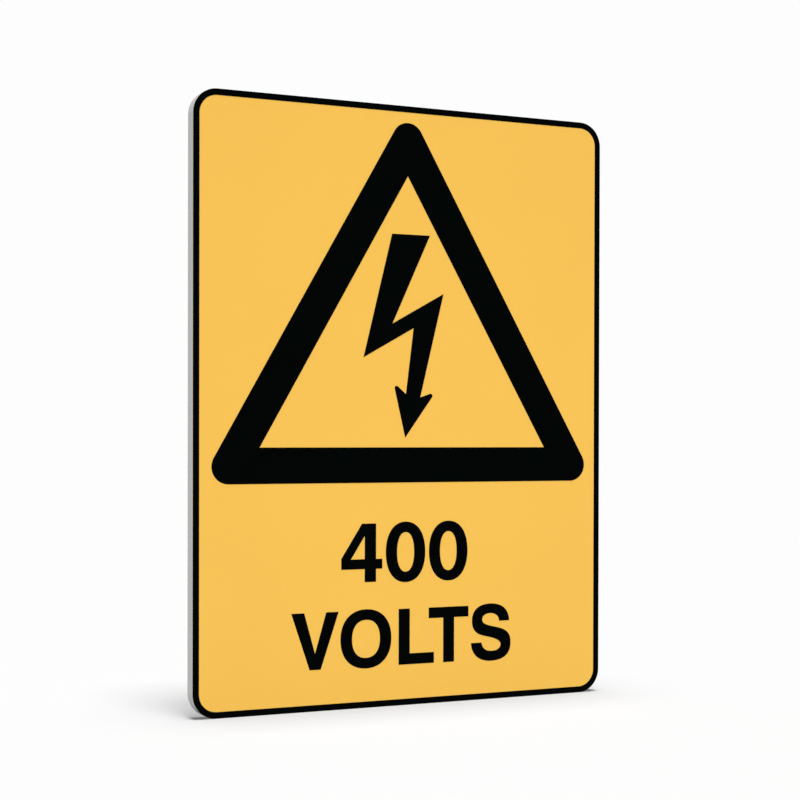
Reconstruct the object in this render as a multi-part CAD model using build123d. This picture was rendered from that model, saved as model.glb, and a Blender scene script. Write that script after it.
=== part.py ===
from build123d import *
import math
import os

# Electrical warning sign: a rigid plastic board with a yellow vinyl film over its whole face,
# and on the film a border line, a warning triangle and a lightning bolt cut from black vinyl.
# Millimetres. The origin is the centre of the board's back face. X runs to the right as the
# sign is read, Z runs up, and the face looks along -Y.

# Board
board_width = 150.0
board_height = 200.0
board_thickness = 5.0
board_corner_radius = 8.0

# Vinyl sheet that covers the face and that the black shapes are cut from
vinyl_thickness = 0.1

# Black line along the edge of the face
border_width = 2.08

# Warning triangle, an even band whose outer corners are rounded and inner corners sharp
triangle_base_angle = 59.83
triangle_band = 11.73
triangle_corner_radius = 5.66
triangle_side_gap = 4.1     # from the border line to a rounded lower corner
triangle_top_gap = 3.5      # from the border line to the rounded top

# Lightning bolt inside the triangle
bolt_tip_gap = 3.3          # from the band's level stretch up to the tip
bolt_side_gap = 2.63        # from the band's sloping edge to the bolt's top right corner
bolt_barb_radius = 0.72

# The bolt's corners clockwise from the top left: across from the sign's centre line,
# and up from the tip
bolt_top_left = (-5.75, 67.85)
bolt_top_right = (8.25, 67.85)
bolt_right_notch = (-5.6, 37.95)
bolt_right_shoulder = (13.4, 48.45)
bolt_right_neck = (4.75, 13.45)
bolt_right_barb = (10.55, 15.45)
bolt_tip = (-0.8, 0.0)
bolt_left_barb = (-5.2, 18.5)
bolt_left_neck = (-0.55, 14.5)
bolt_left_notch = (2.25, 36.65)
bolt_left_shoulder = (-16.1, 26.5)

# Colours
board_white = Color(0.86, 0.86, 0.85)
sign_yellow = Color(0.93, 0.54, 0.10)
sign_black = Color(0.004, 0.005, 0.005)

# Where each sheet's back lies, towards the reader
film_back = board_thickness
graphic_back = film_back + vinyl_thickness

# Half width and height of the yellow field inside the border line
field_half_width = board_width / 2 - border_width
field_half_height = board_height / 2 - border_width

# Sharp corners of the triangle's outer outline, from its rounded reach
base_angle = math.radians(triangle_base_angle)
lower_corner_reach = triangle_corner_radius / math.tan(base_angle / 2) - triangle_corner_radius
top_corner_reach = triangle_corner_radius / math.cos(base_angle) - triangle_corner_radius
outer_half_width = field_half_width - triangle_side_gap + lower_corner_reach
outer_top = field_half_height - triangle_top_gap + top_corner_reach
outer_base = outer_top - outer_half_width * math.tan(base_angle)

# Sharp corners of its inner outline, one band further in
inner_half_width = outer_half_width - triangle_band / math.tan(base_angle / 2)
inner_base = outer_base + triangle_band
inner_top = inner_base + inner_half_width * math.tan(base_angle)

# The bolt stands on its tip gap and is as large as its top right corner's gap leaves room for
tip_height = inner_base + bolt_tip_gap
room_above_tip = (inner_top - tip_height) * math.cos(base_angle) - bolt_side_gap
drawn_reach = bolt_top_right[1] * math.cos(base_angle) + bolt_top_right[0] * math.sin(base_angle)
bolt_scale = room_above_tip / drawn_reach


def sheet(outline, back, thickness):
    """A flat sheet of the given outline, its back this far in front of the board's back."""
    facing_reader = Plane(origin=(0, -back, 0), x_dir=(1, 0, 0), z_dir=(0, -1, 0))
    return extrude(facing_reader * outline, amount=thickness)


def face_outline():
    """The rounded rectangle that the board and the film share."""
    return RectangleRounded(board_width, board_height, board_corner_radius)


def triangle_outline(half_width, base, top):
    """An upright triangle with sharp corners, centred left to right."""
    return make_face(Polyline((-half_width, base), (half_width, base), (0, top), close=True))


def bolt_point(corner):
    """Where a corner of the bolt lies on the sign."""
    across, up = corner
    return (across * bolt_scale, tip_height + up * bolt_scale)


def nearest_vertex(outline, point):
    """The outline's corner at a point."""
    return outline.vertices().sort_by_distance((*point, 0))[0]


def make_sign_board():
    """The rigid board, one even slab with rounded corners."""
    return sheet(face_outline(), 0, board_thickness)


def make_face_film():
    """Yellow vinyl over the board's whole face, trimmed flush with its edge."""
    return sheet(face_outline(), film_back, vinyl_thickness)


def make_border_line():
    """Black line along the edge of the face, as wide round the corners as along the sides."""
    field = RectangleRounded(
        2 * field_half_width,
        2 * field_half_height,
        board_corner_radius - border_width,
    )
    return sheet(face_outline() - field, graphic_back, vinyl_thickness)


def make_warning_triangle():
    """Black triangular band, rounded outside and sharp inside."""
    outer = triangle_outline(outer_half_width, outer_base, outer_top)
    rounded = fillet(outer.vertices(), triangle_corner_radius)
    opening = triangle_outline(inner_half_width, inner_base, inner_top)
    return sheet(rounded - opening, graphic_back, vinyl_thickness)


def make_lightning_bolt():
    """Black zigzag bolt that ends in an arrowhead with two rounded barbs."""
    corners = [
        bolt_top_left,
        bolt_top_right,
        bolt_right_notch,
        bolt_right_shoulder,
        bolt_right_neck,
        bolt_right_barb,
        bolt_tip,
        bolt_left_barb,
        bolt_left_neck,
        bolt_left_notch,
        bolt_left_shoulder,
    ]
    outline = make_face(Polyline(*[bolt_point(corner) for corner in corners], close=True))
    barbs = [nearest_vertex(outline, bolt_point(corner)) for corner in (bolt_right_barb, bolt_left_barb)]
    rounded = fillet(barbs, bolt_barb_radius * bolt_scale)
    return sheet(rounded, graphic_back, vinyl_thickness)


pieces = {
    "sign_board": (make_sign_board, board_white),
    "face_film": (make_face_film, sign_yellow),
    "border_line": (make_border_line, sign_black),
    "warning_triangle": (make_warning_triangle, sign_black),
    "lightning_bolt": (make_lightning_bolt, sign_black),
}

os.makedirs("parts", exist_ok=True)
for name, (make, colour) in pieces.items():
    piece = make()
    piece.label = name
    piece.color = colour
    export_step(piece, f"parts/{name}.step")
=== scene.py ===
import math
import bmesh
import bpy
from mathutils import Matrix, Vector


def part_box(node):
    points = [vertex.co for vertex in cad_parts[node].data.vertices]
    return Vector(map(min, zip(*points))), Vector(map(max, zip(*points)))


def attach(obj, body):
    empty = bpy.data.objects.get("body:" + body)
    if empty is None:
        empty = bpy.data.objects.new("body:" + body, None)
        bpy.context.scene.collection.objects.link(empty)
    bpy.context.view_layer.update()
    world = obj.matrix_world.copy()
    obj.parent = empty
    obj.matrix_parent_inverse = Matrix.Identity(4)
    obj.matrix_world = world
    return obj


# Electrical warning sign on a plain white ground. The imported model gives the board, its yellow
# film, the border line, the triangle and the bolt; this script gives them their surfaces and
# adds the characters under the triangle. Metres, in the model's own frame: the origin is the
# centre of the board's back, X to the right as the sign is read, Z up, the face towards -Y.

mm = 0.001

# Camera, measured from the centre of the front of the sign. Its sensor and lens are in
# millimetres, and its rise is a share of the sensor's width.
camera_from_face = Vector((-244.9, -511.5, -9.79)) * mm
camera_yaw = math.radians(-25.335)
camera_pitch = math.radians(-0.496)
camera_roll = math.radians(-0.124)
camera_sensor = 36.0
camera_lens = 76.345
camera_rise = 0.0625
camera_nearest = 10 * mm

# Rows of characters: the height of each baseline above the board's bottom edge
word_baseline = 13.57 * mm
number_baseline = 41.64 * mm

# Left edge of every character, from the sign's centre line
four_left = -23.95 * mm
first_zero_left = -7.82 * mm
second_zero_left = 8.18 * mm
v_left = -41.57 * mm
o_left = -24.18 * mm
l_left = -3.05 * mm
t_left = 8.14 * mm
s_left = 24.22 * mm

# Height of the capitals and of the 4. These and the outlines of the characters are in millimetres.
cap_height = 18.66
digit_height = 19.34

# How finely a character's curves are divided, and how near two of its points are one
curve_steps = 24
weld_distance = 0.001 * mm

# Colours, and how white the backdrop is where it is seen
film_yellow = (0.93, 0.54, 0.088)
vinyl_black = (0.0006, 0.0014, 0.0011)
board_white = (0.86, 0.86, 0.85)
backdrop_white = 0.984

# Levels that nearly all noise lies between
noise_low = 0.25
noise_high = 0.75

# Light that comes evenly from all round. A level of 1 makes a white surface white.
ambient_level = 0.2

# Soft lamp straight in front of the sign. A lamp's level is how bright it alone makes a white
# surface that faces it.
front_level = 0.508
front_distance = 0.68
front_size = 0.3
front_height = -0.02

# Soft lamps a long way off, in degrees: azimuth 0 is in front of the sign and 90 on its right
key_lamp = {"level": 0.32, "azimuth": -50, "elevation": 25, "softness": 10}
top_lamp = {"level": 0.35, "azimuth": -10, "elevation": 75, "softness": 30}
back_lamp = {"level": 0.7, "azimuth": 140, "elevation": 20, "softness": 20}

# Lamps that light the floor alone, and give it the sign's shadow
overhead_lamp = {"level": 7.3, "azimuth": 2, "elevation": 87.8, "softness": 25}
leaning_lamp = {"level": 3.1, "azimuth": 1, "elevation": 73.9, "softness": 14.7}

# Floor, a disc that fades into the backdrop from the start of its fade out to its rim
floor_radius = 1.2
floor_fade_start = 0.5
floor_sides = 96

# Its paint is dark under strong lamps, so that it holds a shadow but throws little light back:
# how light it is where it is seen, how light where it only lights, and how much it glows
floor_seen = 0.08
floor_bounce = 0.03
floor_glow = 0.145


def node(tree, kind, inputs=(), **settings):
    """Adds a shader node, with its settings, and a value or a link for each input that is given."""
    made = tree.nodes.new(kind)
    for name, value in settings.items():
        setattr(made, name, value)
    for name, value in dict(inputs).items():
        if isinstance(value, bpy.types.NodeSocket):
            tree.links.new(value, made.inputs[name])
        else:
            made.inputs[name].default_value = value
    return made


def empty_material(name):
    """A new material with no nodes in it yet."""
    material = bpy.data.materials.new(name)
    material.use_nodes = True
    material.node_tree.nodes.clear()
    return material


def finish_material(material, shader):
    """Joins the shader to the material's output."""
    output = node(material.node_tree, "ShaderNodeOutputMaterial")
    material.node_tree.links.new(shader, output.inputs["Surface"])
    return material


def place(tree, stretch):
    """Where a point is on the object, in metres, squeezed along the axes that a pattern runs along."""
    coordinates = node(tree, "ShaderNodeTexCoord")
    mapping = node(tree, "ShaderNodeMapping", {"Vector": coordinates.outputs["Object"], "Scale": stretch})
    return mapping.outputs["Vector"]


def noise(tree, size, detail=2.0, stretch=(1, 1, 1)):
    """Smooth noise whose features are about this many metres across."""
    inputs = {"Vector": place(tree, stretch), "Scale": 1 / size, "Detail": detail}
    return node(tree, "ShaderNodeTexNoise", inputs).outputs["Fac"]


def spread(tree, value, low, high):
    """Noise remapped so that it runs from low to high."""
    return node(tree, "ShaderNodeMapRange", {
        "Value": value,
        "From Min": noise_low,
        "From Max": noise_high,
        "To Min": low,
        "To Max": high,
    }).outputs["Result"]


def either(tree, choice, first, second):
    """The first value where the choice is 0, the second where it is 1."""
    inputs = {"Factor": choice, "A": first, "B": second}
    return node(tree, "ShaderNodeMix", inputs).outputs["Result"]


def shaded(tree, colour, factor):
    """A colour made lighter or darker by a factor that varies over the surface."""
    inputs = {0: colour, "Scale": factor}
    return node(tree, "ShaderNodeVectorMath", inputs, operation="SCALE").outputs["Vector"]


def bump(tree, height, depth, strength=1.0, over=None):
    """Surface relief of this many metres from a height between 0 and 1, over another relief or none."""
    inputs = {"Height": height, "Distance": depth, "Strength": strength}
    if over is not None:
        inputs["Normal"] = over
    return node(tree, "ShaderNodeBump", inputs).outputs["Normal"]


def film_material():
    """Satin yellow vinyl: almost even, with faint shade and a very fine orange peel."""
    shade_patch = 45 * mm
    shade_range = (0.992, 1.008)
    gloss_patch = 6 * mm
    roughness_range = (0.34, 0.44)
    peel_size = 0.9 * mm
    peel_depth = 0.005 * mm
    gloss = 0.3
    material = empty_material("yellow_film")
    tree = material.node_tree
    shade = spread(tree, noise(tree, shade_patch), *shade_range)
    shader = node(tree, "ShaderNodeBsdfPrincipled", {
        "Base Color": shaded(tree, film_yellow, shade),
        "Roughness": spread(tree, noise(tree, gloss_patch, detail=4.0), *roughness_range),
        "Normal": bump(tree, noise(tree, peel_size), peel_depth),
        "Specular IOR Level": gloss,
    })
    return finish_material(material, shader.outputs["BSDF"])


def vinyl_material():
    """Black vinyl with a fine grain and little gloss."""
    shade_patch = 12 * mm
    shade_range = (0.8, 1.2)
    gloss_patch = 5 * mm
    roughness_range = (0.38, 0.48)
    grain_size = 0.7 * mm
    grain_depth = 0.004 * mm
    gloss = 0.006
    material = empty_material("black_vinyl")
    tree = material.node_tree
    shade = spread(tree, noise(tree, shade_patch), *shade_range)
    shader = node(tree, "ShaderNodeBsdfPrincipled", {
        "Base Color": shaded(tree, vinyl_black, shade),
        "Roughness": spread(tree, noise(tree, gloss_patch, detail=4.0), *roughness_range),
        "Normal": bump(tree, noise(tree, grain_size), grain_depth),
        "Specular IOR Level": gloss,
    })
    return finish_material(material, shader.outputs["BSDF"])


def cut_edge(tree):
    """1 on the board's cut edge, which faces across Y, and 0 on its two faces, which face along it."""
    halfway = 0.5
    coordinates = node(tree, "ShaderNodeTexCoord")
    axes = node(tree, "ShaderNodeSeparateXYZ", {"Vector": coordinates.outputs["Normal"]})
    facing = node(tree, "ShaderNodeMath", {0: axes.outputs["Y"]}, operation="ABSOLUTE")
    inputs = {0: facing.outputs["Value"], 1: halfway}
    return node(tree, "ShaderNodeMath", inputs, operation="LESS_THAN").outputs["Value"]


def board_shade(tree, edge):
    """Faint patches all over the board, and the foam's fine pores where it is cut."""
    patch_size = 30 * mm
    patch_range = (0.975, 1.02)
    pore_size = 0.3 * mm
    pore_range = (0.93, 1.03)
    patches = spread(tree, noise(tree, patch_size, detail=4.0), *patch_range)
    pores = spread(tree, noise(tree, pore_size, detail=3.0), *pore_range)
    inputs = {0: either(tree, edge, 1.0, pores), 1: patches}
    return node(tree, "ShaderNodeMath", inputs, operation="MULTIPLY").outputs["Value"]


def board_roughness(tree, edge, cut_marks):
    """A little gloss on the skin, in patches, and less on the cut edge."""
    gloss_patch = 4 * mm
    skin_range = (0.45, 0.6)
    edge_range = (0.7, 0.9)
    skin = spread(tree, noise(tree, gloss_patch, detail=4.0), *skin_range)
    return either(tree, edge, skin, spread(tree, cut_marks, *edge_range))


def board_relief(tree, edge, cut_marks):
    """An eggshell skin with faint upright lines in it, and the cutter's marks on the edge."""
    skin_size = 1.7 * mm
    skin_depth = 0.12 * mm
    line_width = 2.2 * mm
    line_depth = 0.07 * mm
    line_stretch = (1, 1, 0.02)
    cut_mark_depth = 0.06 * mm
    face = either(tree, edge, 1.0, 0.0)
    lines = noise(tree, line_width, stretch=line_stretch)
    relief = bump(tree, noise(tree, skin_size, detail=3.0), skin_depth, strength=face)
    relief = bump(tree, lines, line_depth, strength=face, over=relief)
    return bump(tree, cut_marks, cut_mark_depth, strength=edge, over=relief)


def board_material():
    """Foamed plastic board, whose cutter's marks run through its thickness."""
    cut_mark_width = 0.6 * mm
    cut_mark_stretch = (1, 0.05, 1)
    gloss = 0.35
    material = empty_material("board")
    tree = material.node_tree
    edge = cut_edge(tree)
    cut_marks = noise(tree, cut_mark_width, stretch=cut_mark_stretch)
    shader = node(tree, "ShaderNodeBsdfPrincipled", {
        "Base Color": shaded(tree, board_white, board_shade(tree, edge)),
        "Roughness": board_roughness(tree, edge, cut_marks),
        "Normal": board_relief(tree, edge, cut_marks),
        "Specular IOR Level": gloss,
    })
    return finish_material(material, shader.outputs["BSDF"])


def corner(x, z):
    """A sharp point of an outline, with its two handles on the point itself."""
    return ((x, z), (x, z), (x, z))


def rounded(x, z, before, after):
    """A point of an outline whose handles lie at these offsets from it."""
    return ((x + before[0], z + before[1]), (x, z), (x + after[0], z + after[1]))


def oval(middle, half_width, half_height, side_pull, top_pull):
    """A squarish oval of four points. The pulls are how far its handles reach, of each half."""
    x, z = middle
    rise = (0, side_pull * half_height)
    run = (top_pull * half_width, 0)
    fall = (0, -rise[1])
    back = (-run[0], 0)
    return [
        rounded(x - half_width, z, fall, rise),
        rounded(x, z + half_height, back, run),
        rounded(x + half_width, z, rise, fall),
        rounded(x, z - half_height, run, back),
    ]


def four():
    """The digit 4, from its left edge and above its baseline."""
    bar_bottom = 4.31
    bar_top = 7.58
    bar_right = 14.8
    stem_left = 8.44
    stem_right = 12.52
    outer = [
        corner(stem_left, 0),
        corner(stem_right, 0),
        corner(stem_right, bar_bottom),
        corner(bar_right, bar_bottom),
        corner(bar_right, bar_top),
        corner(stem_right, bar_top),
        corner(stem_right, digit_height),
        corner(7.45, digit_height),
        corner(0, 7.85),
        corner(0, bar_bottom),
        corner(stem_left, bar_bottom),
    ]
    counter = [corner(stem_left, 15.37), corner(3.41, bar_top), corner(stem_left, bar_top)]
    return [outer, counter]


def zero():
    """The digit 0, a little taller than the 4 at both ends."""
    middle = (7.28, 9.62)
    outer = oval(middle, half_width=7.28, half_height=10.12, side_pull=0.61, top_pull=0.61)
    counter = oval(middle, half_width=3.18, half_height=6.62, side_pull=0.62, top_pull=0.62)
    return [outer, counter]


def letter_v():
    """The letter V."""
    outer = [
        corner(0, cap_height),
        corner(4.5, cap_height),
        corner(8.34, 5.2),
        corner(12.29, cap_height),
        corner(16.68, cap_height),
        corner(10.33, 0),
        corner(6.45, 0),
    ]
    return [outer]


def letter_o():
    """The letter O."""
    middle = (9.2, 9.28)
    outer = oval(middle, half_width=9.2, half_height=9.8, side_pull=0.603, top_pull=0.625)
    counter = oval(middle, half_width=5.07, half_height=6.3, side_pull=0.62, top_pull=0.653)
    return [outer, counter]


def letter_l():
    """The letter L."""
    stem_right = 4.08
    foot_right = 13.14
    foot_top = 3.63
    outer = [
        corner(0, cap_height),
        corner(stem_right, cap_height),
        corner(stem_right, foot_top),
        corner(foot_right, foot_top),
        corner(foot_right, 0),
        corner(0, 0),
    ]
    return [outer]


def letter_t():
    """The letter T."""
    bar_right = 15.02
    bar_bottom = 15.09
    stem_left = 5.47
    stem_right = 9.56
    outer = [
        corner(0, cap_height),
        corner(bar_right, cap_height),
        corner(bar_right, bar_bottom),
        corner(stem_right, bar_bottom),
        corner(stem_right, 0),
        corner(stem_left, 0),
        corner(stem_left, bar_bottom),
        corner(0, bar_bottom),
    ]
    return [outer]


def letter_s():
    """The letter S, from the end of its upper stroke, over the top and along the outside."""
    outer = [
        rounded(14.79, 13.06, (0, 0), (-0.27, 4.64)),
        rounded(7.51, 19.11, (3.61, 0), (-4.51, 0)),
        rounded(0.37, 13.32, (0, 3.91), (0, -4.21)),
        rounded(4.87, 8.2, (-1.11, 0.31), (1.37, -0.39)),
        rounded(11.45, 5.08, (0, 1.94), (0, -1.87)),
        rounded(8.32, 2.86, (0.92, 0), (-2.72, 0)),
        rounded(4.0, 5.87, (0.43, -2.12), (0, 0)),
        rounded(0.01, 5.87, (0, 0), (0.14, -3.76)),
        rounded(7.65, -0.52, (-4.86, 0), (5.7, 0)),
        rounded(15.33, 5.55, (0, -3.48), (0, 3.05)),
        rounded(10.69, 10.76, (3.12, -0.84), (-3.08, 0.83)),
        rounded(4.27, 13.76, (0, -1.9), (0, 0.98)),
        rounded(7.41, 15.84, (-2.35, 0), (1.62, 0)),
        rounded(10.87, 13.06, (-0.09, 1.97), (0, 0)),
    ]
    return [outer]


def handle_kind(at, handle):
    """Straight where a handle lies on its own point, otherwise free."""
    return "VECTOR" if handle == at else "FREE"


def outline_curve(name, outlines, thickness):
    """A flat filled curve of this thickness, drawn from closed outlines in millimetres."""
    curve = bpy.data.curves.new(name, "CURVE")
    curve.dimensions = "2D"
    curve.fill_mode = "BOTH"
    curve.resolution_u = curve_steps
    curve.extrude = thickness / 2
    for outline in outlines:
        spline = curve.splines.new("BEZIER")
        spline.bezier_points.add(len(outline) - 1)
        spline.use_cyclic_u = True
        for point, (before, at, after) in zip(spline.bezier_points, outline):
            point.handle_left_type = handle_kind(at, before)
            point.handle_right_type = handle_kind(at, after)
            point.co = (at[0] * mm, at[1] * mm, 0)
            point.handle_left = (before[0] * mm, before[1] * mm, 0)
            point.handle_right = (after[0] * mm, after[1] * mm, 0)
    return curve


def is_flat(face):
    """Whether a piece of mesh lies in the curve's front or back, and not in its walls."""
    heights = [vertex.co.z for vertex in face.verts]
    return max(heights) - min(heights) < weld_distance


def solid_mesh(curve):
    """The curve as one closed mesh, its walls welded to its faces, and no slivers in the faces."""
    drawn = bpy.data.objects.new(curve.name, curve)
    bpy.context.scene.collection.objects.link(drawn)
    bpy.context.view_layer.update()
    evaluated = drawn.evaluated_get(bpy.context.evaluated_depsgraph_get())
    mesh = bpy.data.meshes.new_from_object(evaluated)
    bpy.data.objects.remove(drawn)
    bpy.data.curves.remove(curve)
    welded = bmesh.new()
    welded.from_mesh(mesh)
    bmesh.ops.remove_doubles(welded, verts=welded.verts, dist=weld_distance)
    flat_faces = [face for face in welded.faces if is_flat(face)]
    inner_edges = [edge for edge in welded.edges if all(is_flat(face) for face in edge.link_faces)]
    bmesh.ops.beautify_fill(welded, faces=flat_faces, edges=inner_edges, method="ANGLE")
    bmesh.ops.recalc_face_normals(welded, faces=welded.faces)
    welded.to_mesh(mesh)
    welded.free()
    return mesh


def character(name, outlines, left, baseline, material):
    """One character cut from black vinyl and laid on the film, as thick as the border line."""
    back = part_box("border_line")[1].y
    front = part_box("border_line")[0].y
    mesh = solid_mesh(outline_curve(name + "_outline", outlines, back - front))
    upright = Matrix.Rotation(math.radians(90), 4, "X")
    mesh.transform(Matrix.Translation((left, (back + front) / 2, baseline)) @ upright)
    mesh.name = name
    mesh.materials.clear()
    mesh.materials.append(material)
    piece = bpy.data.objects.new(name, mesh)
    bpy.context.scene.collection.objects.link(piece)
    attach(piece, "root")


def make_characters(material):
    """The two rows of characters under the triangle."""
    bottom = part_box("sign_board")[0].z
    number_base = bottom + number_baseline
    word_base = bottom + word_baseline
    character("digit_4", four(), four_left, number_base, material)
    character("digit_0_left", zero(), first_zero_left, number_base, material)
    character("digit_0_right", zero(), second_zero_left, number_base, material)
    character("letter_V", letter_v(), v_left, word_base, material)
    character("letter_O", letter_o(), o_left, word_base, material)
    character("letter_L", letter_l(), l_left, word_base, material)
    character("letter_T", letter_t(), t_left, word_base, material)
    character("letter_S", letter_s(), s_left, word_base, material)


def dress(frame, node_name, material):
    """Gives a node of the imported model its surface."""
    piece = frame["nodes"][node_name]
    piece.data.materials.clear()
    piece.data.materials.append(material)


def make_camera():
    """The photograph's view: from the left, about level with the middle, its frame raised a little."""
    face_low, face_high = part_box("border_line")
    face_centre = Vector(((face_low.x + face_high.x) / 2, face_low.y, (face_low.z + face_high.z) / 2))
    camera_data = bpy.data.cameras.new("camera")
    camera_data.sensor_width = camera_sensor
    camera_data.lens = camera_lens
    camera_data.shift_y = camera_rise
    camera_data.clip_start = camera_nearest
    camera = bpy.data.objects.new("camera", camera_data)
    turn = Matrix.Rotation(camera_yaw, 4, "Z")
    tip = Matrix.Rotation(camera_pitch, 4, "X")
    roll = Matrix.Rotation(camera_roll, 4, "Y")
    upright = Matrix.Rotation(math.radians(90), 4, "X")
    camera.matrix_world = Matrix.Translation(face_centre + camera_from_face) @ turn @ tip @ roll @ upright
    bpy.context.scene.collection.objects.link(camera)
    bpy.context.scene.camera = camera


def grey(value):
    """A neutral colour."""
    return (value, value, value, 1)


def in_sight(tree):
    """1 for a ray of sight, be it straight, mirrored or through glass, and 0 for one that only lights."""
    light_path = node(tree, "ShaderNodeLightPath")
    inputs = {0: light_path.outputs["Is Glossy Ray"], 1: light_path.outputs["Is Transmission Ray"]}
    mirrored = node(tree, "ShaderNodeMath", inputs, operation="ADD")
    inputs = {0: light_path.outputs["Is Camera Ray"], 1: mirrored.outputs["Value"]}
    seen = node(tree, "ShaderNodeMath", inputs, operation="ADD", use_clamp=True)
    return seen.outputs["Value"]


def floor_material():
    """White ground that keeps the shadow and fades into the backdrop with distance."""
    material = empty_material("floor")
    tree = material.node_tree
    paint = node(tree, "ShaderNodeBsdfDiffuse", {"Color": grey(floor_seen)})
    glow = node(tree, "ShaderNodeEmission", {"Color": grey(1), "Strength": floor_glow})
    seen = node(tree, "ShaderNodeAddShader", {0: paint.outputs["BSDF"], 1: glow.outputs["Emission"]})
    unseen = node(tree, "ShaderNodeBsdfDiffuse", {"Color": grey(floor_bounce)})
    ground = node(tree, "ShaderNodeMixShader", {
        0: in_sight(tree),
        1: unseen.outputs["BSDF"],
        2: seen.outputs["Shader"],
    })
    coordinates = node(tree, "ShaderNodeTexCoord")
    distance = node(tree, "ShaderNodeVectorMath", {0: coordinates.outputs["Object"]}, operation="LENGTH")
    fade = node(tree, "ShaderNodeMapRange", {
        "Value": distance.outputs["Value"],
        "From Min": floor_fade_start,
        "From Max": floor_radius,
    }, interpolation_type="SMOOTHSTEP")
    clear = node(tree, "ShaderNodeBsdfTransparent")
    faded = node(tree, "ShaderNodeMixShader", {
        0: fade.outputs["Result"],
        1: ground.outputs["Shader"],
        2: clear.outputs["BSDF"],
    })
    return finish_material(material, faded.outputs["Shader"])


def make_floor():
    """A round floor under the sign's bottom edge."""
    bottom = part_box("sign_board")[0].z
    rim = []
    for step in range(floor_sides):
        angle = 2 * math.pi * step / floor_sides
        rim.append((floor_radius * math.cos(angle), floor_radius * math.sin(angle), 0))
    mesh = bpy.data.meshes.new("floor")
    mesh.from_pydata(rim, [], [list(range(floor_sides))])
    mesh.materials.append(floor_material())
    floor = bpy.data.objects.new("floor", mesh)
    floor.location = (0, 0, bottom)
    bpy.context.scene.collection.objects.link(floor)
    return floor


def make_world():
    """White where it is seen, and a soft even grey light to everything else."""
    world = bpy.data.worlds.new("studio")
    world.use_nodes = True
    tree = world.node_tree
    tree.nodes.clear()
    backdrop = node(tree, "ShaderNodeBackground", {"Color": grey(backdrop_white)})
    ambient = node(tree, "ShaderNodeBackground", {"Color": grey(ambient_level)})
    mix = node(tree, "ShaderNodeMixShader", {
        0: in_sight(tree),
        1: ambient.outputs["Background"],
        2: backdrop.outputs["Background"],
    })
    node(tree, "ShaderNodeOutputWorld", {"Surface": mix.outputs["Shader"]})
    bpy.context.scene.world = world


def make_sun(name, lit, level, azimuth, elevation, softness):
    """A far soft lamp that lights the given pieces from a direction."""
    data = bpy.data.lights.new(name, "SUN")
    data.energy = level * math.pi
    data.angle = math.radians(softness)
    lamp = bpy.data.objects.new(name, data)
    across = math.cos(math.radians(elevation))
    towards = Vector((
        across * math.sin(math.radians(azimuth)),
        -across * math.cos(math.radians(azimuth)),
        math.sin(math.radians(elevation)),
    ))
    lamp.rotation_euler = towards.to_track_quat("Z", "Y").to_euler()
    lamp.light_linking.receiver_collection = lit
    bpy.context.scene.collection.objects.link(lamp)


def make_front_lamp(lit):
    """A soft lamp straight in front, near enough that the middle of the face is a little lighter."""
    data = bpy.data.lights.new("front", "AREA")
    data.size = front_size
    data.energy = front_level * 4 * math.pi * front_distance ** 2
    lamp = bpy.data.objects.new("front", data)
    lamp.location = (0, -front_distance, front_height)
    lamp.rotation_euler = (math.radians(90), 0, 0)
    lamp.light_linking.receiver_collection = lit
    lamp.visible_glossy = False
    bpy.context.scene.collection.objects.link(lamp)


def group(name, pieces):
    """A collection of pieces for a lamp to light."""
    collection = bpy.data.collections.new(name)
    for piece in pieces:
        collection.objects.link(piece)
    return collection


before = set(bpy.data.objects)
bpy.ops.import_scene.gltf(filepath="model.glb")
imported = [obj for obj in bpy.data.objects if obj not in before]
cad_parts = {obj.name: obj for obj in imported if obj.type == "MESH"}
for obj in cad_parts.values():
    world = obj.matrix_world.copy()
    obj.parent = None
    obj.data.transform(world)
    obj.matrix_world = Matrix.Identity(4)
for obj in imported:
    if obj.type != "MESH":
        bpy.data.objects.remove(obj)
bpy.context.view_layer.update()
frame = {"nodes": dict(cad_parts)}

make_camera()
make_world()
floor = make_floor()

black = vinyl_material()
dress(frame, "sign_board", board_material())
dress(frame, "face_film", film_material())
dress(frame, "border_line", black)
dress(frame, "warning_triangle", black)
dress(frame, "lightning_bolt", black)
make_characters(black)

sign = [piece for piece in bpy.data.objects if piece.type == "MESH" and piece != floor]
lit_sign = group("lit_sign", sign)
lit_floor = group("lit_floor", [floor])
make_front_lamp(lit_sign)
make_sun("key", lit_sign, **key_lamp)
make_sun("top", lit_sign, **top_lamp)
make_sun("back", lit_sign, **back_lamp)
make_sun("overhead", lit_floor, **overhead_lamp)
make_sun("leaning", lit_floor, **leaning_lamp)

bpy.context.scene.view_settings.view_transform = "Standard"
